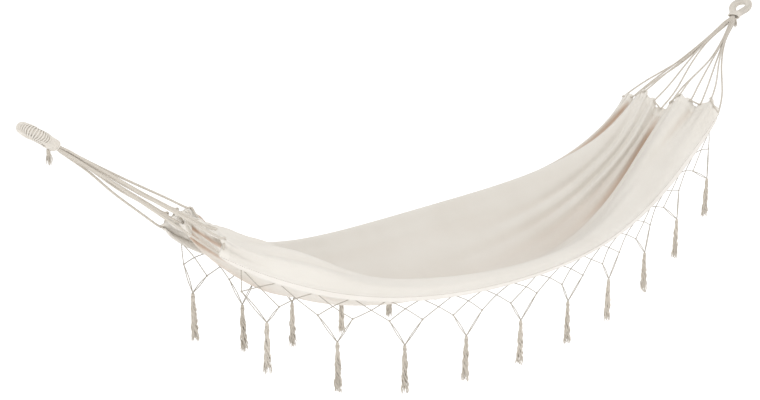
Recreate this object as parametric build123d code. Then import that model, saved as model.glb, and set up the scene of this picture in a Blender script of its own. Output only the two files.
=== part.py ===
"""Fringed cloth hammock, hung by its two eye loops.

Millimetres, +Z up. X runs from the left eye to the right one, and Y away from the side that faces
the viewer. The origin is the centre of the left eye's round end, where a hook carries it. The
heights below are measured down from the line through the two eyes.
"""
from build123d import *
from math import asin, atan2, cos, hypot, pi, radians, sin, tan
import os

# Hanging
EYE_SPAN = 2630.0  # between the centres of the two eyes' round ends
CLEW_SLOPE = 36.0  # degrees that the cords fall from each eye

# Eye loops: a rope bent back on itself, wound with cord
EYE_BEND_R = 26.5  # centreline of the round end
EYE_ROPE_D = 16.8  # rope inside the winding
EYE_STRAIGHT = 51.5  # from the round end's centre to the neck's ball seat
NECK_SPREAD = 8.5  # centreline of each rope end from the middle, inside the neck
ROPE_START = 16.0  # where the rope's ends are, from the ball seat
NECK_LENGTH = 20.0
NECK_WIDTH = 40.0
NECK_HEIGHT = 19.0
WHIP_CORD_D = 3.6
WHIP_TURNS = 20
WHIP_CLEAR = 0.3
NECK_TURNS = 3
NECK_TURN_GAP = 0.7
NECK_BARE = 2.0  # from the ball seat to the first turn round the neck
WHIP_BARE = 12.0  # of the rope's centre line, at each end
TAIL_LENGTH = 26.0
TAIL_D = 9.0
TAIL_FLARE = 1.3  # frayed end over tied end

# Cord heads: the gathered ends of the suspension cords, seated in the necks
HEAD_BALL_R = 7.5
HEAD_LENGTH = 24.0  # ball centre to the face where the cords leave
HEAD_PLATE = 7.0
HEAD_STEM_R = 5.5
HEAD_RIM = 1.0  # of the head's face round the cords
RUN_CLEAR = 0.3  # between pieces that move on each other or are seated
STOP_CLEAR = 0.3  # between pieces that are sewn or tied together

# Suspension cords
CORD_D = 6.0
CORD_PITCH = 6.8  # between neighbouring cords at the head
CORDS_A_SIDE = 6  # each has two legs

# Cloth
CLOTH_HALF_RUN = 960.0  # middle of the hammock to the end of the cloth, level
CLOTH_THICK = 2.0
HEM_THICK = 5.0
SIDE_HEM_WIDTH = 20.0
END_HEM_WIDTH = 25.0

# Fringe
TASSEL_PITCH = 200.0
TASSELS_A_SIDE = 10
STRING_D = 2.4
DOUBLE_STRING_D = 3.4
CROSSING_DROP = 20.0
KNOT_DROP = 50.0
KNOT_D = 7.0
TIP_DROP = 100.0
STRING_SEW_IN = 5.0  # how far each string runs up through the side hem
TASSEL_HEAD_R = 4.5
TASSEL_LENGTH = 127.0  # tip of the fringe to the tassel's frayed end
TASSEL_NECK_R = 3.2
TASSEL_NECK_LENGTH = 14.0
STRAND_W = 1.4
STRAND_FOOT_R = 8.5
STRANDS = 16

# One half of the cloth's section, from its side edge to the middle: the corners of its folds, as
# (distance from the middle plane, height), halfway along the hammock and at its two ends.
MID_FOLDS = [(249, -536), (262, -510), (259, -497), (243, -490), (165, -575), (0, -635)]
RIGHT_FOLDS = [(170, -282), (146, -243), (100, -283), (52, -240), (30, -262), (0, -285)]
LEFT_FOLDS = [(104, -287), (88, -246), (62, -276), (34, -228), (20, -250), (0, -268)]
FOLD_R = 22.0  # largest rounding of a fold's crest
LEFT_NARROWS = 1.1  # how early the width goes over to the end's
RIGHT_NARROWS = 2.2
STATIONS = [0.0, 0.14, 0.28, 0.42, 0.56, 0.70, 0.81, 0.91, 1.0]  # shares of the way to the end
OUTER_SEAT_SHARES = (0.22, 0.78)  # where two legs of the cords meet the cloth's outermost fold


def rise(way):
    """Share of the climb from mid-span to the end that is done this far along."""
    return 0.44 * way**2 + 0.56 * way**4


def folds(x):
    """Corners (y, z) of the cloth's centre line in the plane at x, from the front edge to the rear one."""
    way = min(abs(x) / CLOTH_HALF_RUN, 1.0)
    ends = RIGHT_FOLDS if x > 0 else LEFT_FOLDS
    narrow = 1 - (1 - way**2) ** (RIGHT_NARROWS if x > 0 else LEFT_NARROWS)
    half = [
        (my + (ey - my) * narrow, mz + (ez - mz) * rise(way))
        for (my, mz), (ey, ez) in zip(MID_FOLDS, ends)
    ]
    return [(-y, z) for y, z in half] + [(y, z) for y, z in half[-2::-1]]


def unit(a, b):
    length = hypot(b[0] - a[0], b[1] - a[1])
    return ((b[0] - a[0]) / length, (b[1] - a[1]) / length)


def lengthened(line, extra):
    """The corner line with both ends drawn out by extra."""
    (ay, az), (by, bz) = unit(line[1], line[0]), unit(line[-2], line[-1])
    first = (line[0][0] + ay * extra, line[0][1] + az * extra)
    last = (line[-1][0] + by * extra, line[-1][1] + bz * extra)
    return [first] + line[1:-1] + [last]


def corner_radii(line):
    """The rounding of each inner corner: as large as its two sides allow, and a fold's own at most."""
    radii = []
    for i in range(1, len(line) - 1):
        a, b = unit(line[i - 1], line[i]), unit(line[i], line[i + 1])
        turn = abs(atan2(a[0] * b[1] - a[1] * b[0], a[0] * b[0] + a[1] * b[1]))
        room = 0.45 * min(
            hypot(line[i][0] - line[i - 1][0], line[i][1] - line[i - 1][1]),
            hypot(line[i + 1][0] - line[i][0], line[i + 1][1] - line[i][1]),
        )
        largest = room / tan(turn / 2)
        trough = len(line) // 2 - 1 <= i <= len(line) // 2 + 1
        radii.append(largest if trough else min(FOLD_R, largest))
    return radii


def rounded(line, radii, side, x):
    """Edges of the corner line moved sideways by side, its corners rounded, in the plane at x."""
    dirs = [unit(a, b) for a, b in zip(line, line[1:])]
    here = (line[0][0] - dirs[0][1] * side, line[0][1] + dirs[0][0] * side)
    edges = []
    for i, radius in enumerate(radii):
        (ay, az), (by, bz) = dirs[i], dirs[i + 1]
        corner = line[i + 1]
        cross, dot = ay * bz - az * by, ay * by + az * bz
        turn = abs(atan2(cross, dot))
        own_r = radius - side if cross > 0 else radius + side
        spread = side / (1 + dot)
        point = (corner[0] - (az + bz) * spread, corner[1] + (ay + by) * spread)
        reach = own_r * tan(turn / 2)
        start = (point[0] - ay * reach, point[1] - az * reach)
        stop = (point[0] + by * reach, point[1] + bz * reach)
        inward = unit(point, ((start[0] + stop[0]) / 2, (start[1] + stop[1]) / 2))
        depth = own_r / cos(turn / 2) - own_r
        middle = (point[0] + inward[0] * depth, point[1] + inward[1] * depth)
        edges.append(Edge.make_line((x, *here), (x, *start)))
        edges.append(Edge.make_three_point_arc((x, *start), (x, *middle), (x, *stop)))
        here = stop
    last, way = line[-1], dirs[-1]
    edges.append(Edge.make_line((x, *here), (x, last[0] - way[1] * side, last[1] + way[0] * side)))
    return edges


def band(line, thick, x):
    """Closed outline of a strip of this thickness along the corner line."""
    radii = corner_radii(line)
    near, far = rounded(line, radii, thick / 2, x), rounded(line, radii, -thick / 2, x)
    caps = [
        Edge.make_line(near[0] @ 0, far[0] @ 0),
        Edge.make_line(near[-1] @ 1, far[-1] @ 1),
    ]
    return Wire(near + far + caps)


def station_places(inner_run):
    """The section planes of a lengthwise piece that stops this far from the middle."""
    return [-inner_run * s for s in STATIONS[:0:-1]] + [inner_run * s for s in STATIONS]


INNER_RUN = CLOTH_HALF_RUN - END_HEM_WIDTH - STOP_CLEAR


def make_cloth():
    outlines = [band(folds(x), CLOTH_THICK, x) for x in station_places(INNER_RUN)]
    return Solid.make_loft(outlines, ruled=True)


def hem_corners(x):
    """Top and bottom of the front hem's centre line in the plane at x."""
    line = folds(x)
    way = unit(line[1], line[0])
    gap, reach = STOP_CLEAR, STOP_CLEAR + SIDE_HEM_WIDTH
    top = (line[0][0] + way[0] * gap, line[0][1] + way[1] * gap)
    return top, (line[0][0] + way[0] * reach, line[0][1] + way[1] * reach)


def make_side_hem():
    """The doubled edge of the cloth along the front."""
    outlines = []
    for x in station_places(INNER_RUN):
        top, low = hem_corners(x)
        (wy, wz), half = unit(top, low), HEM_THICK / 2
        corners = [
            (top[0] - wz * half, top[1] + wy * half),
            (low[0] - wz * half, low[1] + wy * half),
            (low[0] + wz * half, low[1] - wy * half),
            (top[0] + wz * half, top[1] - wy * half),
        ]
        outlines.append(Wire.make_polygon([(x, y, z) for y, z in corners], close=True))
    return Solid.make_loft(outlines, ruled=True)


def end_line(x):
    return lengthened(folds(x), STOP_CLEAR + SIDE_HEM_WIDTH)


def make_end_hem(side):
    """The doubled end of the cloth, folded as the cloth is and tied to the cords."""
    inner, outer = side * (INNER_RUN + STOP_CLEAR), side * CLOTH_HALF_RUN
    return Solid.make_loft([band(end_line(x), HEM_THICK, x) for x in (inner, outer)], ruled=True)


# Clews

def neck_frame():
    """Left neck's frame, at the centre of its ball seat: X to the eye's tip, Z up and square to it."""
    slope = radians(CLEW_SLOPE)
    out = Vector(-cos(slope), 0, sin(slope))
    centre = Vector(-EYE_SPAN / 2, 0, 0) - out * EYE_STRAIGHT
    return Plane(origin=centre, x_dir=out, z_dir=Vector(sin(slope), 0, cos(slope)))


def on_side(shape, side):
    """A piece of the left clew, or its mirror image on the right."""
    return shape if side < 0 else shape.mirror(Plane.YZ)


def eye_path():
    """The rope's centre line in the neck's frame: a straight run from the neck, the round end that
    it touches, and the straight run back."""
    start = Vector(ROPE_START, NECK_SPREAD)
    middle = Vector(EYE_STRAIGHT, 0)
    reach = middle - start
    lean = atan2(reach.Y, reach.X) + asin(EYE_BEND_R / reach.length)
    touch = middle + Vector(-sin(lean), cos(lean)) * EYE_BEND_R
    tip = middle + Vector(EYE_BEND_R, 0)
    low_touch, low_start = Vector(touch.X, -touch.Y), Vector(start.X, -start.Y)
    away = Vector(cos(lean), sin(lean))
    return Wire([
        Edge.make_line(start, touch),
        Edge.make_tangent_arc(touch, away, tip),
        Edge.make_tangent_arc(tip, Vector(0, -1), low_touch),
        Edge.make_line(low_touch, low_start),
    ])


def swept(width, path):
    return sweep(Plane(path @ 0, z_dir=path % 0) * Circle(width / 2), path=path)


def make_eye_rope():
    """The rope of the eye and its two ends, laid together at the neck, with the ball's seat."""
    face = Plane(origin=(0, 0, 0), x_dir=(0, 1, 0), z_dir=(1, 0, 0))
    neck = extrude(face * Ellipse(NECK_WIDTH / 2, NECK_HEIGHT / 2), NECK_LENGTH)
    return swept(EYE_ROPE_D, eye_path()) + neck - Sphere(HEAD_BALL_R + RUN_CLEAR)


def biarcs(points, ways):
    """Two tangent arcs between each pair of points, leaving and arriving along the given ways."""
    edges = []
    for a, b, ta, tb in zip(points, points[1:], ways, ways[1:]):
        gap = b - a
        square = 2 * (1 - ta.dot(tb))
        lean = gap.dot(ta + tb)
        reach = (-lean + (lean**2 + square * gap.dot(gap)) ** 0.5) / square
        joint = (a + b + (ta - tb) * reach) * 0.5
        mid_way = (b - tb * reach - a - ta * reach).normalized()
        edges.append(Edge.make_tangent_arc(a, ta, joint))
        edges.append(Edge.make_tangent_arc(joint, mid_way, b))
    return edges


QUARTERS = 4  # places worked out on each turn of a winding
TURN_POINTS = 48  # places measured on each turn of a winding
STEP = 1e-4  # share of a winding over which its direction is taken


def least_gap(route, turns):
    """The smallest space between one turn and the next, measured on points."""
    count = turns * TURN_POINTS
    points = [route(i / count) for i in range(count + 1)]
    half, reach = TURN_POINTS // 2, 2 * TURN_POINTS
    spaces = [
        (a - b).length for i, a in enumerate(points) for b in points[i + half : i + reach]
    ]
    return min(spaces) - WHIP_CORD_D


def make_winding(route, turns, name):
    """One unbroken cord along a winding's route, which gives the point for each share of it."""
    places = [i / (turns * QUARTERS) for i in range(turns * QUARTERS + 1)]
    ways = [(route(p + STEP) - route(p - STEP)).normalized() for p in places]
    path = Wire(biarcs([route(p) for p in places], ways))
    print(f"{name}: least gap to itself {least_gap(route, turns):.2f} mm")
    return swept(WHIP_CORD_D, path)


WHIP_OFF = WHIP_CLEAR + WHIP_CORD_D / 2  # from what the cord is wound on to its centre line
NECK_PITCH = WHIP_CORD_D + NECK_TURN_GAP


def make_eye_whipping():
    """Cord wound round the eye's rope, from one side of the neck to the other."""
    path = eye_path()
    off = EYE_ROPE_D / 2 + WHIP_OFF
    bare = WHIP_BARE / path.length
    square = Vector(0, 0, 1)

    def route(share):
        place = bare + (1 - 2 * bare) * share
        aside = square.cross(path % place)
        angle = 2 * pi * WHIP_TURNS * share
        return path @ place + aside * (off * cos(angle)) + square * (off * sin(angle))

    return make_winding(route, WHIP_TURNS, "eye_whipping")


def make_neck_binding():
    """A few turns of the same cord round the neck."""
    wide, high = NECK_WIDTH / 2 + WHIP_OFF, NECK_HEIGHT / 2 + WHIP_OFF

    def route(share):
        angle = 2 * pi * NECK_TURNS * share
        along = NECK_BARE + NECK_TURNS * NECK_PITCH * share
        return Vector(along, wide * cos(angle), high * sin(angle))

    return make_winding(route, NECK_TURNS, "neck_binding")


def make_tail_tuft(frame):
    """The frayed tail of the binding cord, which hangs straight down under the neck."""
    tied_r = TAIL_D / 2
    under = NECK_HEIGHT / 2 + WHIP_OFF + WHIP_CORD_D / 2 + STOP_CLEAR + tied_r
    top = frame.from_local_coords(Vector(NECK_LENGTH / 2, 0, -under))
    bottom = top - Vector(0, 0, TAIL_LENGTH)
    down = Plane(origin=top, z_dir=(0, 0, -1))
    foot = Plane(origin=bottom, z_dir=(0, 0, -1))
    brush = loft([down * Circle(tied_r).face(), foot * Circle(tied_r * TAIL_FLARE).face()])
    return Pos(*top) * Sphere(tied_r) + brush


def make_cord_head():
    """The gathered ends of the cords: a ball in the neck's seat, and a face that the cords leave."""
    wide = (CORDS_A_SIDE - 1) * CORD_PITCH + CORD_D + 2 * HEAD_RIM
    high = CORD_PITCH + CORD_D + 2 * HEAD_RIM
    stem_start = HEAD_BALL_R - HEAD_STEM_R / 2

    def across(distance, outline):
        face = Plane(origin=(-distance, 0, 0), x_dir=(0, 1, 0), z_dir=(-1, 0, 0))
        return face * outline

    plate = extrude(across(HEAD_LENGTH - HEAD_PLATE, SlotOverall(wide, high)), HEAD_PLATE)
    stem = loft([
        across(stem_start, Ellipse(HEAD_STEM_R, HEAD_STEM_R)).face(),
        across(HEAD_LENGTH - HEAD_PLATE, Ellipse(wide / 2 - HEAD_RIM, high / 2 - HEAD_RIM)).face(),
    ])
    return Sphere(HEAD_BALL_R) + stem + plate


def leg_ends(frame, side):
    """For each cord, the two pairs of points that its legs run between: head face and cloth end."""
    line = end_line(side * CLOTH_HALF_RUN)
    slopes = list(zip(line, line[1:]))[: CORDS_A_SIDE - 1]
    places = [(slopes[0], share) for share in OUTER_SEAT_SHARES]
    places += [(slope, 0.5) for slope in slopes[1:]]
    seats = [
        (ay + (by - ay) * share, az + (bz - az) * share)
        for ((ay, az), (by, bz)), share in places
    ]
    seats += [(-y, z) for y, z in reversed(seats)]
    face_x = -(HEAD_LENGTH + STOP_CLEAR)
    pairs = []
    for column in range(CORDS_A_SIDE):
        y = (column - (CORDS_A_SIDE - 1) / 2) * CORD_PITCH
        low_first = sorted(seats[2 * column : 2 * column + 2], key=lambda seat: seat[1])
        legs = []
        for seat, z in zip(low_first, (-CORD_PITCH / 2, CORD_PITCH / 2)):
            start = frame.from_local_coords(Vector(face_x, 0, z))
            start = Vector(start.X * -side, y, start.Z)
            stop = Vector(side * (CLOTH_HALF_RUN + STOP_CLEAR), *seat)
            legs.append((start, stop))
        pairs.append(legs)
    return pairs


def make_cord(legs, frame, side):
    """Two straight legs of one cord, cut square at the head and along the end of the cloth."""
    slope = radians(CLEW_SLOPE)
    pieces = []
    for start, stop in legs:
        way = (stop - start).normalized()
        a, b = start - way * CORD_D, stop + way * CORD_D * 2
        leg = Solid.extrude(Plane(origin=a, z_dir=way) * Circle(CORD_D / 2).face(), b - a)
        head_face = Plane(origin=start, z_dir=Vector(-side * cos(slope), 0, -sin(slope)))
        cloth_face = Plane(origin=stop, z_dir=Vector(side, 0, 0))
        leg = split(leg, bisect_by=head_face, keep=Keep.TOP)
        pieces.append(split(leg, bisect_by=cloth_face, keep=Keep.TOP).solid())
    return Compound(pieces)


# Fringe

def hem_measure():
    """Top and bottom of the front hem at each station, with the length along it from mid-span."""
    edge = [
        (Vector(x, *top), Vector(x, *low))
        for x in station_places(INNER_RUN)
        for top, low in [hem_corners(x)]
    ]
    lengths = [0.0]
    for (_, a), (_, b) in zip(edge, edge[1:]):
        lengths.append(lengths[-1] + (b - a).length)
    half = lengths[len(edge) // 2]
    return [(length - half, *points) for length, points in zip(lengths, edge)]


HEM = hem_measure()


def hem_at(along):
    """Top and bottom of the front hem this far along it from mid-span."""
    for (a, top_a, low_a), (b, top_b, low_b) in zip(HEM, HEM[1:]):
        if b >= along:
            break
    share = (along - a) / (b - a)
    return top_a + (top_b - top_a) * share, low_a + (low_b - low_a) * share


def below_hem(along, drop):
    """Point this far under the front hem's lower edge."""
    return hem_at(along)[1] - Vector(0, 0, drop)


def in_hem(along):
    """Where a string of the fringe ends inside the front hem."""
    top, low = hem_at(along)
    return low + (top - low).normalized() * STRING_SEW_IN


def prism(a, b, width, sides=4):
    """A straight string of few sides from a to b."""
    return Solid.extrude(Plane(origin=a, z_dir=b - a) * RegularPolygon(width / 2, sides).face(), b - a)


def knot(at):
    high = Vector(0, 0, KNOT_D / 2)
    return prism(at + high, at - high, KNOT_D, 6)


def tassel_tip(number):
    """Lower end of the fringe net over the numbered tassel of the front side."""
    along = (number - (TASSELS_A_SIDE + 1) / 2) * TASSEL_PITCH
    return below_hem(along, TIP_DROP)


def make_fringe_net():
    """Front net: strings from the hem cross their neighbours, are knotted and meet over each tassel."""
    half_pitch, count = TASSEL_PITCH / 2, 2 * TASSELS_A_SIDE
    places = [(i - (count - 1) / 2) * half_pitch for i in range(count)]
    knots = [below_hem(along, KNOT_DROP) for along in places]
    edge = [below_hem(along, 0) for along in places]
    strings = [prism(in_hem(along), low, STRING_D) for along, low in zip(places, edge)]
    for i in range(count - 1):
        crossing = below_hem(places[i] + half_pitch / 2, CROSSING_DROP)
        for end in (edge[i], edge[i + 1], knots[i], knots[i + 1]):
            strings.append(prism(end, crossing, STRING_D))
    strings += [prism(edge[i], knots[i], STRING_D) for i in (0, count - 1)]
    for i in range(count):
        strings.append(prism(knots[i], tassel_tip(i // 2 + 1), DOUBLE_STRING_D))
    strings += [knot(at) for at in knots]
    return strings[0].fuse(*strings[1:])


def make_tassel():
    """A tassel that hangs from the origin: its head knot, its tied neck and its strands."""
    head = Sphere(TASSEL_HEAD_R).solid()
    neck_top, neck_foot = Vector(0, 0, 0), Vector(0, 0, -TASSEL_NECK_LENGTH)
    neck = prism(neck_top, neck_foot, 2 * TASSEL_NECK_R, 8)
    turn = pi * (3 - 5**0.5)
    strands = []
    for i in range(STRANDS):
        share, angle = ((i + 0.5) / STRANDS) ** 0.5, turn * i
        aside = Vector(cos(angle), sin(angle), 0) * share
        top = aside * (TASSEL_NECK_R - STRAND_W / 2) + neck_foot * 0.8
        foot = aside * STRAND_FOOT_R - Vector(0, 0, TASSEL_LENGTH - TASSEL_HEAD_R)
        strands.append(prism(top, foot, STRAND_W, 3))
    return head.fuse(neck, *strands)


def all_pieces():
    """Every piece under its name, about the middle of the hammock."""
    front_hem, front_net = make_side_hem(), make_fringe_net()
    pieces = {
        "bed_cloth": make_cloth(),
        "front_side_hem": front_hem,
        "rear_side_hem": front_hem.mirror(Plane.XZ),
        "front_fringe_net": front_net,
        "rear_fringe_net": front_net.mirror(Plane.XZ),
    }
    tassel = make_tassel()
    for number in range(1, TASSELS_A_SIDE + 1):
        tip = tassel_tip(number) - Vector(0, 0, TASSEL_HEAD_R + RUN_CLEAR + DOUBLE_STRING_D / 2)
        pieces[f"front_tassel_{number:02d}"] = tassel.moved(Location(tip))
        pieces[f"rear_tassel_{number:02d}"] = tassel.moved(Location((tip.X, -tip.Y, tip.Z)))
    frame = neck_frame()
    clew = {
        "eye_rope": frame * make_eye_rope(),
        "eye_whipping": frame * make_eye_whipping(),
        "neck_binding": frame * make_neck_binding(),
        "tail_tuft": make_tail_tuft(frame),
        "cord_head": frame * make_cord_head(),
    }
    for name, side in (("left", -1), ("right", 1)):
        pieces[f"{name}_end_hem"] = make_end_hem(side)
        for part, shape in clew.items():
            pieces[f"{name}_{part}"] = on_side(shape, side)
        for number, legs in enumerate(leg_ends(frame, side), 1):
            pieces[f"{name}_cord_{number}"] = make_cord(legs, frame, side)
    return pieces


os.makedirs("parts", exist_ok=True)
for node, piece in all_pieces().items():
    export_step(piece.moved(Location((EYE_SPAN / 2, 0, 0))), f"parts/{node}.step")
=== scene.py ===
"""Looks of the fringed cloth hammock: its cloth, hems, cords, wound eyes, fringe and tassels.

Metres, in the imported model's frame. X runs from the left eye to the right one, Y away from the
viewer's side, Z up. Shapes that are symmetric about mid-span are worked out from it.
"""
import random

import bpy
import numpy as np
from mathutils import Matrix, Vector


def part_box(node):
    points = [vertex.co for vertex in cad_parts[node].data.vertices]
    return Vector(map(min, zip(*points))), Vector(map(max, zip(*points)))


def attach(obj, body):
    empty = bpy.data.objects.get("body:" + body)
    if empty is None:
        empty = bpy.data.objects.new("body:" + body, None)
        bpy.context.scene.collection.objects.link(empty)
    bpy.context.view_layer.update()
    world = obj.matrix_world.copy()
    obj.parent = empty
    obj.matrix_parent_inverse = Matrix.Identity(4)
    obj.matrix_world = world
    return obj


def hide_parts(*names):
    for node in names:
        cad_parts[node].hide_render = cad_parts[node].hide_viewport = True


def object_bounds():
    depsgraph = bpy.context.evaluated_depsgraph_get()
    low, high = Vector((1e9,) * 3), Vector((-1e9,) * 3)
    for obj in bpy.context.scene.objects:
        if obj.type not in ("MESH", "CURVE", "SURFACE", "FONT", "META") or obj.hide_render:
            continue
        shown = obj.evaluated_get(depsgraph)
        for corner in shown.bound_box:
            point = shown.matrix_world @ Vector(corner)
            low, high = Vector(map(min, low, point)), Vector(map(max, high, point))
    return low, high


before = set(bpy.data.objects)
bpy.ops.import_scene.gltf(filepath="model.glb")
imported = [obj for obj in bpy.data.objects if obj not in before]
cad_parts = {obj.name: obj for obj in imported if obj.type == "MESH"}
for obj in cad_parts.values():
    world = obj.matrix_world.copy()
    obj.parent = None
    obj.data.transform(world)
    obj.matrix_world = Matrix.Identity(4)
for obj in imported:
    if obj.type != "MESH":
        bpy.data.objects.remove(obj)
CAD_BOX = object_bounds()
rng = random.Random(11)

# Places and sizes shared with the model
MID_X = 1.315  # mid-span
CLEW_SLOPE = np.radians(36.0)
CLOTH_RUN = 0.960  # mid-span to the end of the cloth
HEM_WIDTH = 0.020
END_HEM_WIDTH = 0.025
TASSELS = 10
TASSEL_PITCH = 0.200
CROSSING_DROP, KNOT_DROP = 0.020, 0.050
CORD_D = 0.006
WHIP_CORD_D = 0.0036
EYE_ROPE_D = 0.0168

# Thicknesses and strings that only the looks have
CLOTH_THICK = 0.0016
HEM_THICK = 0.0042
END_HEM_THICK = 0.0034
NET_STRING_D = 0.0030
TIP_STRING_D = 0.0028


# Small geometry helpers

def rows(values):
    return np.array(values, dtype=float)


def unit(vectors):
    vectors = rows(vectors)
    return vectors / np.maximum(np.linalg.norm(vectors, axis=-1, keepdims=True), 1e-12)


def smooth(value):
    value = np.clip(value, 0, 1)
    return value * value * (3 - 2 * value)


def between(a, b, c, d, t):
    """Points of a smooth curve from b to c, where a and d are the points beside them."""
    bend, turn = 2 * a - 5 * b + 4 * c - d, 3 * b - a - 3 * c + d
    return 0.5 * (2 * b + (c - a) * t + bend * t**2 + turn * t**3)


def through(points, steps):
    """Points of a smooth line through the given ones: this many steps on each stretch."""
    points = rows(points)
    padded = np.vstack([2 * points[0] - points[1], points, 2 * points[-1] - points[-2]])
    line = []
    for i in range(len(points) - 1):
        a, b, c, d = padded[i : i + 4]
        for k in range(steps):
            line.append(between(a, b, c, d, k / steps))
    line.append(points[-1])
    return rows(line)


def respaced(points, step):
    """The same line with its points this far apart."""
    points = rows(points)
    along = np.concatenate([[0], np.cumsum(np.linalg.norm(np.diff(points, axis=0), axis=1))])
    count = max(2, int(round(along[-1] / step)) + 1)
    places = np.linspace(0, along[-1], count)
    return np.stack([np.interp(places, along, points[:, k]) for k in range(3)], axis=1)


def frames_along(points):
    """Ways and two square directions at each point, carried along without twisting."""
    points = rows(points)
    ways = unit(np.gradient(points, axis=0))
    aside = np.cross(ways[0], [0, 0, 1.0])
    if np.linalg.norm(aside) < 0.1:
        aside = np.cross(ways[0], [0, 1.0, 0])
    asides = []
    for way in ways:
        aside = aside - way * np.dot(aside, way)
        aside = aside / np.linalg.norm(aside)
        asides.append(aside)
    asides = rows(asides)
    return ways, asides, np.cross(ways, asides)


class Build:
    """Gathers the points and faces of one piece's mesh."""

    def __init__(self):
        self.points, self.faces, self.count = [], [], 0

    def tube(self, points, radius, sides=6):
        points = rows(points)
        radii = np.broadcast_to(rows(radius), (len(points),))
        _, a, b = frames_along(points)
        angles = np.arange(sides) * 2 * np.pi / sides
        ring = (
            points[:, None]
            + radii[:, None, None] * (a[:, None] * np.cos(angles)[None, :, None])
            + radii[:, None, None] * (b[:, None] * np.sin(angles)[None, :, None])
        )
        self.points.append(ring.reshape(-1, 3))
        start = self.count
        for i in range(len(points) - 1):
            low, high = start + i * sides, start + (i + 1) * sides
            for k in range(sides):
                n = (k + 1) % sides
                self.faces.append((low + k, low + n, high + n, high + k))
        last = start + (len(points) - 1) * sides
        self.faces.append(tuple(start + k for k in reversed(range(sides))))
        self.faces.append(tuple(last + k for k in range(sides)))
        self.count += len(points) * sides

    def ball(self, centre, radii, rings=6, sides=8):
        centre, radii = rows(centre), np.broadcast_to(rows(radii), (3,))
        lats = np.linspace(-np.pi / 2, np.pi / 2, rings + 1)[1:-1]
        lons = np.arange(sides) * 2 * np.pi / sides
        ring = [
            centre + radii * rows([np.cos(a) * np.cos(b), np.cos(a) * np.sin(b), np.sin(a)])
            for a in lats
            for b in lons
        ]
        poles = [centre - radii * rows([0, 0, 1]), centre + radii * rows([0, 0, 1])]
        start = self.count
        self.points.append(rows(ring + poles))
        for i in range(len(lats) - 1):
            for k in range(sides):
                n = (k + 1) % sides
                low, high = start + i * sides, start + (i + 1) * sides
                self.faces.append((low + k, low + n, high + n, high + k))
        south = start + len(ring)
        top = start + (len(lats) - 1) * sides
        for k in range(sides):
            n = (k + 1) % sides
            self.faces.append((start + n, start + k, south))
            self.faces.append((top + k, top + n, south + 1))
        self.count += len(ring) + 2

    def shell(self, grid, offsets):
        """A closed skin round a grid of points, moved both ways by the given vectors."""
        nu, nv = grid.shape[:2]
        start = self.count
        self.points.append((grid + offsets).reshape(-1, 3))
        self.points.append((grid - offsets).reshape(-1, 3))
        under = start + nu * nv

        def at(i, j):
            return start + i * nv + j

        for i in range(nu - 1):
            for j in range(nv - 1):
                quad = (at(i, j), at(i + 1, j), at(i + 1, j + 1), at(i, j + 1))
                self.faces.append(quad)
                self.faces.append(tuple(q - start + under for q in reversed(quad)))
        edge = [at(i, 0) for i in range(nu)]
        edge += [at(nu - 1, j) for j in range(1, nv)]
        edge += [at(i, nv - 1) for i in range(nu - 2, -1, -1)]
        edge += [at(0, j) for j in range(nv - 2, 0, -1)]
        for a, b in zip(edge, edge[1:] + edge[:1]):
            self.faces.append((b, a, a - start + under, b - start + under))
        self.count += 2 * nu * nv

    def piece(self, name, material, body, slot, *nodes):
        mesh = bpy.data.meshes.new(name)
        mesh.from_pydata(np.concatenate(self.points).tolist(), [], self.faces)
        mesh.polygons.foreach_set("use_smooth", [True] * len(mesh.polygons))
        mesh.materials.append(material)
        mesh.update()
        made = bpy.data.objects.new(name, mesh)
        bpy.context.scene.collection.objects.link(made)
        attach(made, body)
        if nodes:
            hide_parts(*nodes)
        return made


def rope(build, path, diameter, plies=3, lay=2.6, sides=6, step=0.0022, turn=0.0):
    """A laid rope along the path: its plies wind round it, once in this many diameters."""
    path = respaced(path, step)
    ply_r = diameter / 2 * (0.58 if plies == 2 else 0.54)
    off = diameter / 2 - ply_r
    along = np.concatenate([[0], np.cumsum(np.linalg.norm(np.diff(path, axis=0), axis=1))])
    _, a, b = frames_along(path)
    for ply in range(plies):
        angle = turn + 2 * np.pi * (along / (lay * diameter) + ply / plies)
        centre = path + off * (a * np.cos(angle)[:, None] + b * np.sin(angle)[:, None])
        build.tube(centre, ply_r, sides)
    return path


# Materials

def node_tree(name):
    material = bpy.data.materials.new(name)
    material.use_nodes = True
    tree = material.node_tree
    tree.nodes.clear()
    return material, tree


def link(tree, source, target):
    tree.links.new(source, target)


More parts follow.
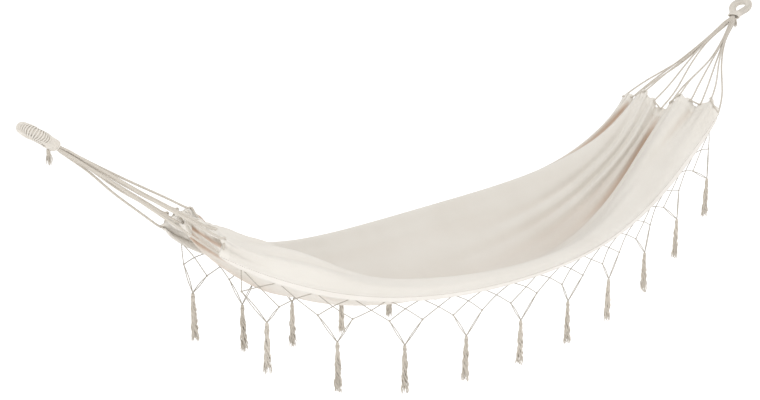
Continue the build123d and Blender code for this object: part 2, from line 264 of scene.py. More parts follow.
def cotton(name, pale, dark, warm, bump_scale, bump_depth, weave=0.0, sheen=0.25, thin=0.0):
    """Cotton: blotches between two tones, fine fibre bump, and where asked a thread weave and painted fold
    shade.
    """
    material, tree = node_tree(name)
    nodes = tree.nodes
    out = nodes.new("ShaderNodeOutputMaterial")
    shader = nodes.new("ShaderNodeBsdfPrincipled")
    shader.inputs["Roughness"].default_value = 0.88
    shader.inputs["Sheen Weight"].default_value = sheen
    shader.inputs["Sheen Roughness"].default_value = 0.6
    shader.inputs["Specular IOR Level"].default_value = 0.2
    place = nodes.new("ShaderNodeTexCoord")
    blotch = nodes.new("ShaderNodeTexNoise")
    blotch.inputs["Scale"].default_value = 7.0
    blotch.inputs["Detail"].default_value = 5.0
    link(tree, place.outputs["Object"], blotch.inputs["Vector"])
    tone = nodes.new("ShaderNodeMix")
    tone.data_type = "RGBA"
    tone.inputs["A"].default_value = (*pale, 1)
    tone.inputs["B"].default_value = (*dark, 1)
    spread = nodes.new("ShaderNodeMapRange")
    spread.inputs["From Min"].default_value = 0.35
    spread.inputs["From Max"].default_value = 0.75
    link(tree, blotch.outputs["Fac"], spread.inputs["Value"])
    link(tree, spread.outputs["Result"], tone.inputs["Factor"])
    colour = tone.outputs["Result"]
    fibre = nodes.new("ShaderNodeTexNoise")
    fibre.inputs["Scale"].default_value = bump_scale
    fibre.inputs["Detail"].default_value = 3.0
    link(tree, place.outputs["Object"], fibre.inputs["Vector"])
    flecks = nodes.new("ShaderNodeMix")
    flecks.data_type = "RGBA"
    flecks.blend_type = "MULTIPLY"
    flecks.inputs["B"].default_value = (*warm, 1)
    fleck_share = nodes.new("ShaderNodeMapRange")
    fleck_share.inputs["From Min"].default_value = 0.50
    fleck_share.inputs["From Max"].default_value = 0.80
    link(tree, fibre.outputs["Fac"], fleck_share.inputs["Value"])
    link(tree, fleck_share.outputs["Result"], flecks.inputs["Factor"])
    link(tree, colour, flecks.inputs["A"])
    colour = flecks.outputs["Result"]
    bump = nodes.new("ShaderNodeBump")
    bump.inputs["Strength"].default_value = 0.6
    bump.inputs["Distance"].default_value = bump_depth
    link(tree, fibre.outputs["Fac"], bump.inputs["Height"])
    normal = bump.outputs["Normal"]
    if weave:
        uv = nodes.new("ShaderNodeUVMap")
        uv.uv_map = "cut"
        for angle in (0.0, np.pi / 2):
            turned = nodes.new("ShaderNodeMapping")
            turned.inputs["Rotation"].default_value = (0, 0, angle)
            link(tree, uv.outputs["UV"], turned.inputs["Vector"])
            thread = nodes.new("ShaderNodeTexWave")
            thread.inputs["Scale"].default_value = 1 / weave / 2
            thread.inputs["Distortion"].default_value = 1.5
            thread.inputs["Detail"].default_value = 1.0
            link(tree, turned.outputs["Vector"], thread.inputs["Vector"])
            ridge = nodes.new("ShaderNodeBump")
            ridge.inputs["Strength"].default_value = 0.35
            ridge.inputs["Distance"].default_value = 0.0004
            link(tree, thread.outputs["Fac"], ridge.inputs["Height"])
            link(tree, normal, ridge.inputs["Normal"])
            normal = ridge.outputs["Normal"]
        # Painted shade: a warm brown multiplied into the colour where the cloth's fold-shade attribute is
        # high, standing in for shade in deep folds and hollows
        painted_fold_shade = nodes.new("ShaderNodeAttribute")
        painted_fold_shade.attribute_name = "painted_fold_shade"
        deep = nodes.new("ShaderNodeMix")
        deep.data_type = "RGBA"
        deep.blend_type = "MULTIPLY"
        deep.inputs["B"].default_value = (0.66, 0.48, 0.37, 1)
        link(tree, painted_fold_shade.outputs["Fac"], deep.inputs["Factor"])
        link(tree, colour, deep.inputs["A"])
        colour = deep.outputs["Result"]
    link(tree, colour, shader.inputs["Base Color"])
    link(tree, normal, shader.inputs["Normal"])
    if thin:
        through_light = nodes.new("ShaderNodeBsdfTranslucent")
        link(tree, colour, through_light.inputs["Color"])
        link(tree, normal, through_light.inputs["Normal"])
        both = nodes.new("ShaderNodeMixShader")
        both.inputs["Fac"].default_value = thin
        link(tree, shader.outputs["BSDF"], both.inputs[1])
        link(tree, through_light.outputs["BSDF"], both.inputs[2])
        link(tree, both.outputs["Shader"], out.inputs["Surface"])
    else:
        link(tree, shader.outputs["BSDF"], out.inputs["Surface"])
    return material


CLOTH = cotton(
    "cloth", (0.82, 0.785, 0.727), (0.79, 0.75, 0.688), (0.97, 0.955, 0.93), 900, 0.0005,
    weave=0.0011, thin=0.10,
)
HEM = cotton(
    "hem", (0.80, 0.765, 0.715), (0.76, 0.72, 0.665), (0.96, 0.94, 0.91), 900, 0.0006, thin=0.04
)
CORD = cotton("cord", (0.61, 0.565, 0.50), (0.53, 0.485, 0.425), (0.90, 0.86, 0.81), 1500, 0.0006)
EYE_CORD = cotton(
    "eye_cord", (0.72, 0.68, 0.62), (0.66, 0.62, 0.56), (0.90, 0.87, 0.82), 1500, 0.0006
)
STRING = cotton("net_string", (0.47, 0.43, 0.375), (0.40, 0.365, 0.31), (0.88, 0.84, 0.78), 1800, 0.0004)
TASSEL = cotton("tassel", (0.62, 0.57, 0.50), (0.50, 0.455, 0.39), (0.84, 0.79, 0.72), 1500, 0.0006)


# Cloth: one half of the width after the other, near side first, as (y, z) of each fold line at
# mid-span and at the two ends
MID_LINES = [
    (-0.251, -0.541), (-0.262, -0.524), (-0.264, -0.510), (-0.257, -0.501), (-0.242, -0.500),
    (-0.214, -0.518), (-0.160, -0.558), (0.0, -0.628), (0.160, -0.562), (0.214, -0.516),
    (0.242, -0.484), (0.257, -0.487), (0.264, -0.500), (0.262, -0.518), (0.251, -0.538),
]
RIGHT_LINES = [
    (-0.155, -0.297), (-0.148, -0.268), (-0.130, -0.243), (-0.078, -0.268), (-0.026, -0.241),
    (0.010, -0.272), (0.034, -0.294), (0.048, -0.300), (0.062, -0.294), (0.092, -0.265),
    (0.128, -0.247), (0.152, -0.290), (0.176, -0.262), (0.188, -0.275), (0.190, -0.300),
]
LEFT_LINES = [
    (-0.088, -0.312), (-0.102, -0.290), (-0.096, -0.262), (-0.045, -0.262), (0.018, -0.228),
    (0.030, -0.246), (0.034, -0.262), (0.040, -0.268), (0.046, -0.262), (0.052, -0.250),
    (0.060, -0.240), (0.080, -0.272), (0.096, -0.258), (0.104, -0.276), (0.098, -0.302),
]
LINE_STEPS = [8, 6, 6, 8, 16, 22, 34, 34, 22, 16, 8, 6, 6, 8]
LEFT_NARROWS, RIGHT_NARROWS = 1.1, 2.2
GATHERS = 12  # cords that draw up each end
FLAT_EDGE = 0.05  # share of the width beside each edge where the gathers die out
# Long creases: share of the width at the end and where it dies out, depth, half-width, reach
RIGHT_CREASES = [
    (0.40, 0.30, 0.010, 0.020, 1.1), (0.60, 0.52, 0.010, 0.018, 1.3), (0.66, 0.62, 0.012, 0.016, 1.2),
    (0.72, 0.72, 0.010, 0.016, 1.0), (0.52, 0.42, 0.010, 0.018, 0.9), (0.24, 0.16, 0.008, 0.020, 0.8),
]
LEFT_CREASES = [
    (0.30, 0.24, 0.009, 0.018, 0.8), (0.42, 0.40, 0.010, 0.018, 0.7), (0.60, 0.58, 0.009, 0.018, 0.8),
    (0.20, 0.14, 0.008, 0.016, 0.6),
]


# Folds in shade: column of the grid, half-width as a share of the width, how far from the end the shade
# is full and where it has died out, depth of the fold there
RIGHT_SHADES = [
    (98, 0.020, 0.09, 0.66, 0.011), (183, 0.016, 0.06, 0.50, 0.010), (176, 0.010, 0.05, 0.36, 0.006),
]
LEFT_SHADES = [
    (60, 0.012, 0.010, 0.22, 0.009), (34, 0.009, 0.008, 0.15, 0.007), (84, 0.014, 0.010, 0.20, 0.010),
]
# The near side's roll stands higher in the left half: height, share of it at each fold line, place
ROLL_LIFT = 0.030
ROLL_SHARES = rows([0, 0.15, 0.6, 1, 1, 0.75, 0.3, 0, 0, 0, 0, 0, 0, 0, 0])
ROLL_WAY, ROLL_REACH = 0.78, 0.13


def rise(way):
    """How far a section has risen from mid-span's height to the end's."""
    return 0.44 * way**2 + 0.56 * way**4


def fold_lines(x):
    """The fold lines' (y, z) in the plane at x, from mid-span."""
    way = min(abs(x) / CLOTH_RUN, 1.0)
    ends = rows(RIGHT_LINES if x > 0 else LEFT_LINES)
    narrow = 1 - (1 - way**2) ** (RIGHT_NARROWS if x > 0 else LEFT_NARROWS)
    mid = rows(MID_LINES)
    lines = np.stack(
        [mid[:, 0] + (ends[:, 0] - mid[:, 0]) * narrow, mid[:, 1] + (ends[:, 1] - mid[:, 1]) * rise(way)],
        axis=1,
    )
    if x < 0:
        lines[:, 1] += ROLL_LIFT * ROLL_SHARES * np.exp(-(((way - ROLL_WAY) / ROLL_REACH) ** 2))
    return lines


def across(lines):
    """A smooth line through one section's fold lines."""
    padded = np.vstack([2 * lines[0] - lines[1], lines, 2 * lines[-1] - lines[-2]])
    out = []
    for i, steps in enumerate(LINE_STEPS):
        a, b, c, d = padded[i : i + 4]
        out.append(between(a, b, c, d, (np.arange(steps) / steps)[:, None]))
    return np.vstack(out + [lines[-1:]])


# Stations along the cloth, closer together towards its ends
SPACED = np.sin(np.linspace(-1, 1, 361) * np.pi / 2 * 0.92) / np.sin(np.pi / 2 * 0.92)


def crease_push(xs, share):
    """How far the long creases draw each point in."""
    push = np.zeros(share.shape)
    for sign, creases in ((1, RIGHT_CREASES), (-1, LEFT_CREASES)):
        for start, stop, deep, wide, reach in creases:
            way = np.clip((CLOTH_RUN - xs[:, None] * sign) / reach, 0, 1)
            centre = start + (stop - start) * smooth(way)
            shape = np.exp(-(((share - centre) / (wide * (1 + way))) ** 2))
            push -= deep * shape * np.sin(np.pi * way**0.5) ** 1.2
    return push


def shaded_folds(share, from_end, sides):
    """How far the shaded folds draw each point in, and how much shade lies on it."""
    push, shade = np.zeros(share.shape), np.zeros(share.shape)
    for side, shades in zip(sides, (RIGHT_SHADES, LEFT_SHADES)):
        for column, wide, first, last, deep in shades:
            away = (share - share[:, column][:, None]) / wide
            fades = 1 - smooth((from_end - first) / (last - first))
            lasts = smooth(from_end / first) * fades * side
            push -= deep * np.exp(-((away / 1.3) ** 2)) * lasts * smooth(from_end / 0.10)
            shade = np.maximum(shade, np.exp(-(away**2)) * lasts)
    return push, shade


def make_cloth_grid():
    """Points of the cloth's middle surface, their square directions, painted fold shade and share of the
    width.
    """
    xs = SPACED * CLOTH_RUN
    sections = rows([across(fold_lines(x)) for x in xs])
    places = np.broadcast_to(xs[:, None, None], sections.shape[:2] + (1,))
    grid = np.concatenate([places, sections], axis=2)
    step = np.linalg.norm(np.diff(sections, axis=1), axis=2)
    share = np.concatenate([np.zeros((len(xs), 1)), np.cumsum(step, axis=1)], axis=1)
    share = share / share[:, -1:]
    from_end = CLOTH_RUN - np.abs(xs)[:, None]
    right = (xs > 0)[:, None]
    normal = grid_normals(grid)
    fold_push, shade = shaded_folds(share, from_end, (right, ~right))
    push = crease_push(xs, share) + fold_push
    waver = 0.35 * np.sin(share * 23 + xs[:, None] * 3) + 0.25 * np.sin(share * 41 - xs[:, None] * 5)
    gather = np.cos(2 * np.pi * (share * GATHERS - 0.5) + waver)
    fine = np.cos(2 * np.pi * (share * GATHERS * 2.6 + 0.2) + 3 * waver)
    push += 0.0065 * gather * np.exp(-from_end / 0.085) + 0.0028 * fine * np.exp(-from_end / 0.05)
    push *= smooth(share / FLAT_EDGE) * smooth((1 - share) / FLAT_EDGE)
    grid = grid + normal * push[:, :, None]
    scallop = (0.5 - 0.5 * gather) * 0.011 * np.exp(-from_end / 0.03)
    grid[:, :, 0] -= np.where(right, scallop, -scallop)
    grid[:, :, 0] += MID_X
    normal = grid_normals(grid)
    return grid, normal, np.maximum(hollow_shade(grid, normal), shade), share


def hollow_shade(grid, normal):
    """Shade by how far each point lies under the average of its neighbours, less towards mid-span."""
    reach = 30
    padded = np.pad(grid, ((0, 0), (reach, reach), (0, 0)), mode="edge")
    total = np.cumsum(np.pad(padded, ((0, 0), (1, 0), (0, 0))), axis=1)
    window = 2 * reach + 1
    average = (total[:, window:] - total[:, :-window]) / window
    under = np.clip(np.sum((average - grid) * normal, axis=2) / 0.022 - 0.15, 0, 1)
    from_end = CLOTH_RUN * (1 - np.abs(SPACED)[:, None])
    return under * np.exp(-from_end / 0.42)


def grid_normals(grid):
    du = np.gradient(grid, axis=0)
    dv = np.gradient(grid, axis=1)
    return unit(np.cross(du, dv))


GRID, NORMAL, FOLD_PAINTED_SHADE, SHARE = make_cloth_grid()


def make_cloth():
    build = Build()
    build.shell(GRID, NORMAL * CLOTH_THICK / 2)
    made = build.piece("lying_cloth", CLOTH, "bed", "cloth", "bed_cloth")
    mesh = made.data
    nu, nv = GRID.shape[:2]
    along = np.cumsum(np.linalg.norm(np.diff(GRID[:, nv // 2], axis=0), axis=1))
    along = np.concatenate([[0], along])
    mid = GRID[nu // 2]
    over = np.concatenate([[0], np.cumsum(np.linalg.norm(np.diff(mid, axis=0), axis=1))])
    flat = np.stack(np.meshgrid(along, over, indexing="ij"), axis=2).reshape(-1, 2)
    flat = np.vstack([flat, flat])
    corner = np.empty(len(mesh.loops), dtype=np.int32)
    mesh.loops.foreach_get("vertex_index", corner)
    uv = mesh.uv_layers.new(name="cut")
    uv.data.foreach_set("uv", flat[corner].ravel())
    # Painted shade per point: how much warm brown shade the cloth's colour takes in its folds and hollows
    painted_fold_shade = mesh.attributes.new("painted_fold_shade", "FLOAT", "POINT")
    painted_fold_shade.data.foreach_set("value", np.concatenate([FOLD_PAINTED_SHADE.ravel(), FOLD_PAINTED_SHADE.ravel()]))
    return made


HEM_ROWS = 9
EDGE_OVERHANG = 0.0015  # of the side hem beyond the cloth's edge


def edge_strip(rear, width):
    """Grid rows of the cloth's side, from its edge inward."""
    grid = GRID[:, ::-1] if rear else GRID
    normal = NORMAL[:, ::-1] if rear else NORMAL
    steps = np.linalg.norm(np.diff(grid, axis=1), axis=2)
    reach = np.concatenate([np.zeros((len(grid), 1)), np.cumsum(steps, axis=1)], axis=1)
    places = np.linspace(-EDGE_OVERHANG, width, HEM_ROWS)
    strip, square = [], []
    for row, ways, far in zip(grid, normal, reach):
        inward = unit(row[1] - row[0])
        at = [np.interp(places, far, row[:, k]) for k in range(3)]
        spot = np.stack(at, axis=1)
        spot[0] = row[0] - inward * EDGE_OVERHANG
        strip.append(spot)
        square.append(unit(np.stack([np.interp(places, far, ways[:, k]) for k in range(3)], axis=1)))
    return rows(strip), rows(square)


SEAM_ROW = 7  # of the hem's rows, counted from its edge


def make_side_hem(name, rear):
    """The doubled and stitched side edge, puckered a little along its seam."""
    strip, square = edge_strip(rear, HEM_WIDTH)
    along = np.concatenate([[0], np.cumsum(np.linalg.norm(np.diff(strip[:, 0], axis=0), axis=1))])
    profile = rows([0.55, 0.85, 1.0, 1.0, 0.95, 0.95, 1.0, 0.8, 0.5])
    waves = np.sin(along[:, None] * 310 + np.arange(HEM_ROWS)[None] * 0.8)
    pucker = 1 + 0.16 * waves * rows([0, 0.3, 0.6, 0.8, 1, 1, 1, 0.8, 0.4])
    build = Build()
    build.shell(strip, square * (HEM_THICK / 2 * profile[None, :] * pucker)[:, :, None])
    made = build.piece(f"{name}_side_hem_cloth", HEM, "bed", "hem", f"{name}_side_hem")
    stitches = Build()
    seam = respaced(strip[:, SEAM_ROW], 0.001)
    old, new = np.linspace(0, 1, len(strip)), np.linspace(0, 1, len(seam))
    ways = np.stack([np.interp(new, old, square[:, SEAM_ROW, k]) for k in range(3)], axis=1)
    for side in (1, -1):
        for i in range(2, len(seam) - 5, 6):
            lift = ways[i] * side * (HEM_THICK / 2 * 0.82)
            a, b = seam[i] + lift, seam[i + 4] + lift
            middle = (a + b) / 2 + ways[i] * side * 0.0006
            stitches.tube([a, middle, b], [0.0003, 0.0006, 0.0003], 4)
    stitches.piece(f"{name}_hem_stitches", STRING, "bed", "hem")
    return made


def make_end_hem(name, right):
    """The doubled end of the cloth, gathered with it."""
    rows_in = int(np.sum(SPACED * CLOTH_RUN > CLOTH_RUN - END_HEM_WIDTH))
    strip = GRID[-rows_in:] if right else GRID[:rows_in]
    square = NORMAL[-rows_in:] if right else NORMAL[:rows_in]
    count = len(strip)
    profile = 0.55 + 0.45 * np.sin(np.linspace(0.15, np.pi - 0.15, count))
    build = Build()
    build.shell(strip, square * (END_HEM_THICK / 2 * profile)[:, None, None])
    return build.piece(f"{name}_end_hem_cloth", CLOTH, "bed", "hem", f"{name}_end_hem")


# Clews

def to_world(name, points):
    """Points in the neck's frame (X to the eye's tip, Y across, Z up and square) as world ones."""
    points = rows(points)
    out = rows([-np.cos(CLEW_SLOPE), 0, np.sin(CLEW_SLOPE)])
    up = rows([np.sin(CLEW_SLOPE), 0, np.cos(CLEW_SLOPE)])
    centre = rows([-MID_X, 0, 0]) - out * EYE_TIP_X
    world = centre + points[:, :1] * out + points[:, 1:2] * rows([0, 1, 0]) + points[:, 2:3] * up
    if name == "right":
        world[:, 0] *= -1
    world[:, 0] += MID_X
    return world


EYE_BEND_R = 0.0265
EYE_TIP_X = 0.0515
NECK_SPREAD = 0.0085
ROPE_START = 0.016


def eye_line():
    """The eye rope's centre line in the neck's frame."""
    start = rows([ROPE_START, NECK_SPREAD])
    reach = rows([EYE_TIP_X, 0]) - start
    far = np.hypot(*reach)
    lean = np.arctan2(reach[1], reach[0]) + np.arcsin(EYE_BEND_R / far)
    touch = rows([EYE_TIP_X - EYE_BEND_R * np.sin(lean), EYE_BEND_R * np.cos(lean)])
    first = np.arctan2(touch[1], touch[0] - EYE_TIP_X)
    bend = [
        (EYE_TIP_X + EYE_BEND_R * np.cos(a), EYE_BEND_R * np.sin(a))
        for a in np.linspace(first, -first, 40)
    ]
    line = [start + (touch - start) * t for t in np.linspace(0, 1, 12)[:-1]]
    line += bend
    line += [(p[0], -p[1]) for p in reversed(line[:11])]
    return np.stack([rows(line)[:, 0], rows(line)[:, 1], np.zeros(len(line))], axis=1)


WHIP_TURNS = 38
NECK_TURNS = 5
NECK_WIDE, NECK_HIGH = 0.0200, 0.0113  # half-axes of the turns' centre line


def make_eye(name):
    """The wound loop: rope core, cord turns, neck binding and its frayed tail."""
    line = respaced(eye_line(), 0.001)
    core = Build()
    core.tube(to_world(name, line), EYE_ROPE_D / 2, 14)
    core.piece(f"{name}_eye_core", EYE_CORD, "eyes", "eye_cord", f"{name}_eye_rope")
    off = EYE_ROPE_D / 2 + WHIP_CORD_D * 0.45
    places = np.linspace(0.01, 0.99, WHIP_TURNS * 22)
    index = places * (len(line) - 1)
    spot = np.stack([np.interp(index, np.arange(len(line)), line[:, k]) for k in range(3)], axis=1)
    way = unit(np.gradient(spot, axis=0))
    aside = np.cross([0, 0, 1.0], way)
    turn = 2 * np.pi * WHIP_TURNS * places
    wobble = 1 + 0.02 * np.sin(turn / 7.3)
    path = spot + off * wobble[:, None] * (
        aside * np.cos(turn)[:, None] + rows([0, 0, 1.0]) * np.sin(turn)[:, None]
    )
    winding = Build()
    winding.tube(to_world(name, path), WHIP_CORD_D / 2 * 0.98, 7)
    winding.piece(f"{name}_eye_winding", EYE_CORD, "eyes", "eye_cord", f"{name}_eye_whipping")
    angle = np.linspace(0, 2 * np.pi * NECK_TURNS, NECK_TURNS * 30)
    along = 0.002 + (WHIP_CORD_D + 0.0001) * angle / (2 * np.pi)
    path = np.stack([along, NECK_WIDE * np.cos(angle), NECK_HIGH * np.sin(angle)], axis=1)
    binding = Build()
    binding.tube(to_world(name, path), WHIP_CORD_D / 2, 7)
    binding.piece(f"{name}_neck_turns", EYE_CORD, "eyes", "eye_cord", f"{name}_neck_binding")
    make_tail(name)


TAIL_STRANDS = 44


def make_tail(name):
    """The binding cord's end: a tied stub that frays into loose strands."""
    top = to_world(name, [[0.010, 0, -0.0125]])[0]
    draw = random.Random(f"{name}tail")
    build = Build()
    stub = through([top, top - rows([0, 0, 0.006]), top - rows([0.001, 0.001, 0.012])], 6)
    rope(build, stub, 0.0085, lay=1.6, sides=7, step=0.0015)
    for _ in range(TAIL_STRANDS):
        angle, spread = draw.uniform(0, 2 * np.pi), draw.uniform(0.001, 0.0068)
        fall = draw.uniform(0.016, 0.028)
        start = top - rows([0, 0, 0.006])
        aside = rows([np.cos(angle), np.sin(angle), 0]) * spread
        bow = rows([draw.uniform(-1, 1), draw.uniform(-1, 1), 0]) * 0.0015
        points = through([start + aside * 0.4, start + aside * 0.8 + bow - rows([0, 0, fall * 0.5]),
                          start + aside * 1.25 - rows([0, 0, fall])], 5)
        build.tube(points, np.linspace(0.0006, 0.00035, len(points)), 4)
    build.piece(f"{name}_frayed_tail", TASSEL, "eyes", "tassel", f"{name}_tail_tuft")


def end_seats(name):
    """Where the cords take hold of the cloth's end: points on it and the shares of the width."""
    index = -1 if name == "right" else 0
    shares = (np.arange(GATHERS) + 0.5) / GATHERS
    row, share = GRID[index], SHARE[index]
    return np.stack([np.interp(shares, share, row[:, k]) for k in range(3)], axis=1)


CORDS = GATHERS // 2  # each doubled through the end's hem
CORD_PITCH, CORD_LIFT = 0.0058, 0.0032  # places of the cords where they part, from the middle one
HEAD_LENGTH = 0.0240  # from the neck to where the cords part
BUNDLED = {"left": 0.3, "right": 1.0}  # how far the cords of each half run together


def make_cords(name):
    """The twisted cords from the neck to the gathered end, each doubled through the end's hem."""
    seats = end_seats(name)
    side = 1 if name == "right" else -1
    for cord in range(CORDS):
        near, far = seats[2 * cord], seats[2 * cord + 1]
        aside = (cord - (CORDS - 1) / 2) * CORD_PITCH
        starts = to_world(name, [[-HEAD_LENGTH, aside, -CORD_LIFT], [-HEAD_LENGTH, aside, CORD_LIFT]])
        low, high = (near, far) if near[2] < far[2] else (far, near)
        legs = []
        group = seats[:CORDS] if cord < CORDS / 2 else seats[CORDS:]
        for start, seat in zip(starts, (low, high)):
            inward = seat + rows([-side * 0.010, 0, -0.001])
            chord = start - seat
            sag = rows([0, rng.uniform(-1, 1) * 0.003, rng.uniform(-0.006, 0.001)])
            middle = seat + chord * 0.5 + sag
            together = (group.mean(axis=0) - seat) * BUNDLED[name]
            legs.append([start, seat + chord * 0.75 + together * 0.24, middle + together * 0.22,
                         seat + chord * 0.2 + sag * 0.3,
                         seat + unit(chord) * 0.006, inward])
        path = through(legs[0] + [(legs[0][-1] + legs[1][-1]) / 2] + legs[1][::-1], 14)
        build = Build()
        route = rope(build, path, CORD_D, lay=2.3, sides=6, step=0.0024, turn=rng.uniform(0, 6))
        made = build.piece(f"{name}_cord_{cord + 1}_rope", CORD, "bed", "cord", f"{name}_cord_{cord + 1}")
        route = respaced(route, 0.01)
    head = Build()
    for cord in range(CORDS):
        for high in (1, -1):
            aside = cord - (CORDS - 1) / 2
            line = [[0.003, aside * 0.0014, high * 0.0016], [-0.004, aside * 0.0020, high * 0.0022],
                    [-HEAD_LENGTH - 0.003, aside * CORD_PITCH, high * CORD_LIFT]]
            rope(head, through(to_world(name, line), 6), CORD_D, sides=6)
    head.piece(f"{name}_gathered_cords", CORD, "bed", "cord", f"{name}_cord_head")


# Fringe

def hem_line(rear):
    """The lower edge of a side hem, by length from mid-span."""
    strip, _ = edge_strip(rear, HEM_WIDTH)
    edge = strip[:, 0]
    along = np.concatenate([[0], np.cumsum(np.linalg.norm(np.diff(edge, axis=0), axis=1))])
    middle = np.interp(MID_X, edge[:, 0], along)
    return along - middle, edge


def make_fringe(name, rear):
    """The knotted net along one side, and the tassels that hang from its tips."""
    along, edge = hem_line(rear)
    half_pitch, count = TASSEL_PITCH / 2, 2 * TASSELS

    def under(place, drop):
        spot = rows([np.interp(place, along, edge[:, k]) for k in range(3)])
        return spot - rows([0, 0, drop])

    places = [(i - (count - 1) / 2) * half_pitch for i in range(count)]
    draw = random.Random(f"{name}net")

    def loose(amount):
        return rows([draw.uniform(-1, 1), draw.uniform(-1, 1), draw.uniform(-0.6, 0.6)]) * amount

    starts = [under(p, -0.004) for p in places]
    knots = [under(p, KNOT_DROP) + loose(0.004) for p in places]
    crossings = [under(p + half_pitch / 2, CROSSING_DROP) + loose(0.004) for p in places[:-1]]
    tips = []
    for number in range(TASSELS):
        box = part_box(f"{name}_tassel_{number + 1:02d}")
        low, high = rows(box[0]), rows(box[1])
        tips.append(rows([(low[0] + high[0]) / 2, (low[1] + high[1]) / 2, high[2] + 0.001]))
    build = Build()

    def string(points, diameter=NET_STRING_D):
        rope(build, through(points, 8), diameter, plies=2, lay=3.5, sides=4, step=0.0028)

    for i in range(count - 1):
        string([starts[i], crossings[i] + loose(0.0012), knots[i + 1]])
        string([starts[i + 1], crossings[i] + loose(0.001), knots[i]])
    for i in (0, count - 1):
        string([starts[i], (starts[i] + knots[i]) / 2 + loose(0.002), knots[i]])
    for i in range(count):
        tip = tips[i // 2]
        middle = (knots[i] + tip) / 2
        away = unit(np.cross(tip - knots[i], [0, 1.0, 0])) * 0.0010
        for sign in (-1, 1):
            string([knots[i], middle + away * sign * 2.6, tip + away * sign * 0.4], TIP_STRING_D)
    for at in knots:
        build.ball(at, [0.0024, 0.0024, 0.0030], 6, 8)
    for at in starts:
        build.ball(at - rows([0, 0, 0.001]), [0.0018, 0.0018, 0.0022], 5, 7)
    build.piece(f"{name}_net_strings", STRING, "bed", "net_string", f"{name}_fringe_net")
    for number, tip in enumerate(tips, 1):
        make_tassel(f"{name}_tassel_{number:02d}", tip)


TASSEL_LENGTH = 0.127
TASSEL_PLIES, TASSEL_FRAYS = 20, 16
PLY_R = 0.00150
GOLDEN_TURN = 2.399  # radians between one ply and the next


def make_tassel(node, tip):
    """A tied bundle of twisted cotton plies that frays towards its foot."""
    draw = random.Random(node)
    build = Build()
    build.ball(tip - rows([0, 0, 0.0045]), [0.0044, 0.0044, 0.0050], 8, 10)
    top = tip - rows([0, 0, 0.007])
    angle = np.linspace(0, 2 * np.pi * 3, 40)
    wrap = top[None] + np.stack(
        [0.0042 * np.cos(angle), 0.0042 * np.sin(angle), -0.001 - 0.0018 * angle / (2 * np.pi)], axis=1
    )
    build.tube(wrap, 0.0010, 5)
    lean = rows([draw.uniform(-1, 1), draw.uniform(-1, 1), 0]) * 0.004
    twist = draw.uniform(4.0, 8.0)
    for ply in range(TASSEL_PLIES):
        share = ((ply + 0.5) / TASSEL_PLIES) ** 0.5
        first = ply * GOLDEN_TURN + draw.uniform(-0.2, 0.2)
        length = TASSEL_LENGTH * draw.uniform(0.82, 0.985) - 0.008
        steps = 20
        down = np.linspace(0, 1, steps)
        bulge = 0.0028 + 0.0036 * smooth(down * 2.2) + 0.0036 * smooth((down - 0.70) / 0.30)
        turn = first + twist * down + 0.5 * np.sin(down * draw.uniform(5, 9) + draw.uniform(0, 6))
        phases = rows([draw.uniform(0, 6), draw.uniform(0, 6)])
        wave = 0.0012 * np.sin(down[:, None] * rows([23, 19]) + phases)
        x = bulge * share * np.cos(turn) + wave[:, 0] + lean[0] * down**1.5
        y = bulge * share * np.sin(turn) + wave[:, 1] + lean[1] * down**1.5
        points = top + np.stack([x, y, -down * length], axis=1)
        radius = PLY_R * (1 - 0.35 * smooth((down - 0.8) / 0.2))
        build.tube(points, radius, 5)
    for _ in range(TASSEL_FRAYS):
        first, start = draw.uniform(0, 2 * np.pi), draw.uniform(0.55, 0.9)
        foot = draw.uniform(0.93, 1.0)
        aside = rows([np.cos(first), np.sin(first), 0])
        a = top + aside * 0.0060 + lean * start - rows([0, 0, start * TASSEL_LENGTH])
        b = top + aside * draw.uniform(0.006, 0.0115) + lean - rows([0, 0, foot * (TASSEL_LENGTH - 0.009)])
        middle = (a + b) / 2 + rows([draw.uniform(-1, 1), draw.uniform(-1, 1), 0]) * 0.0015
        build.tube(through([a, middle, b], 4), np.linspace(0.0006, 0.0003, 9), 4)
    build.piece(f"{node}_strands", TASSEL, node, "tassel", node)


cloth = make_cloth()
front_hem = make_side_hem("front", False)
rear_hem = make_side_hem("rear", True)
left_end = make_end_hem("left", False)
right_end = make_end_hem("right", True)
for clew in ("left", "right"):
    make_eye(clew)
    make_cords(clew)
make_fringe("front", False)
make_fringe("rear", True)


# Floor, light and camera

FLOOR_DROP, FLOOR_REACH = 0.60, 40.0


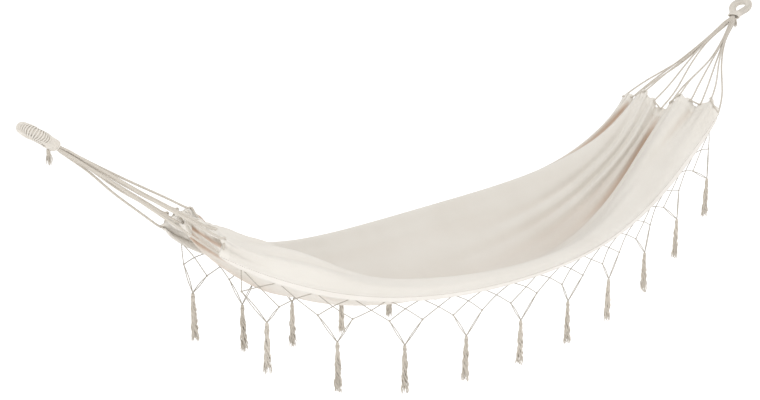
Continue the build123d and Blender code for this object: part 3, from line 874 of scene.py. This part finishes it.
def make_floor():
    mesh = bpy.data.meshes.new("floor")
    z, far = CAD_BOX[0][2] - FLOOR_DROP, FLOOR_REACH
    mesh.from_pydata([(-far, -far, z), (far, -far, z), (far, far, z), (-far, far, z)], [], [(0, 1, 2, 3)])
    floor = bpy.data.objects.new("floor", mesh)
    bpy.context.scene.collection.objects.link(floor)
    material, tree = node_tree("floor")
    shader = tree.nodes.new("ShaderNodeBsdfPrincipled")
    shader.inputs["Base Color"].default_value = (0.93, 0.93, 0.93, 1)
    shader.inputs["Roughness"].default_value = 0.9
    shader.inputs["Emission Color"].default_value = (1, 1, 1, 1)
    shader.inputs["Emission Strength"].default_value = 0.34
    out = tree.nodes.new("ShaderNodeOutputMaterial")
    link(tree, shader.outputs["BSDF"], out.inputs["Surface"])
    mesh.materials.append(material)


def area_light(name, place, aim, size, power, colour=(1, 1, 1)):
    light = bpy.data.lights.new(name, "AREA")
    light.size, light.energy, light.color = size, power, colour
    lamp = bpy.data.objects.new(name, light)
    lamp.location = place
    lamp.rotation_euler = (Vector(aim) - Vector(place)).to_track_quat("-Z", "Y").to_euler()
    bpy.context.scene.collection.objects.link(lamp)


def make_light():
    aim = (MID_X, 0, -0.4)
    area_light("key", (MID_X - 0.6, -1.4, 2.4), aim, 2.4, 27, (1.0, 0.99, 0.975))
    area_light("fill", (MID_X - 3.0, -2.0, 0.6), aim, 2.5, 14, (0.98, 0.99, 1.0))
    world = bpy.data.worlds.new("studio")
    world.use_nodes = True
    back = world.node_tree.nodes["Background"]
    back.inputs["Color"].default_value = (1, 1, 1, 1)
    back.inputs["Strength"].default_value = 0.90
    bpy.context.scene.world = world
    bpy.context.scene.view_settings.view_transform = "Standard"


CAMERA_PLACE = (-1.239, -2.179, 0.564)
CAMERA_YAW, CAMERA_DOWN = np.radians(45.0), np.radians(16.06)
CAMERA_LENS, CAMERA_SENSOR = 60.96, 36.0  # millimetres


def make_camera():
    lens = bpy.data.cameras.new("camera")
    lens.lens, lens.sensor_width = CAMERA_LENS, CAMERA_SENSOR
    camera = bpy.data.objects.new("camera", lens)
    camera.location = CAMERA_PLACE
    level = np.cos(CAMERA_DOWN)
    way = Vector((np.cos(CAMERA_YAW) * level, np.sin(CAMERA_YAW) * level, -np.sin(CAMERA_DOWN)))
    camera.rotation_euler = way.to_track_quat("-Z", "Y").to_euler()
    bpy.context.scene.collection.objects.link(camera)
    bpy.context.scene.camera = camera


make_floor()
make_light()
make_camera()
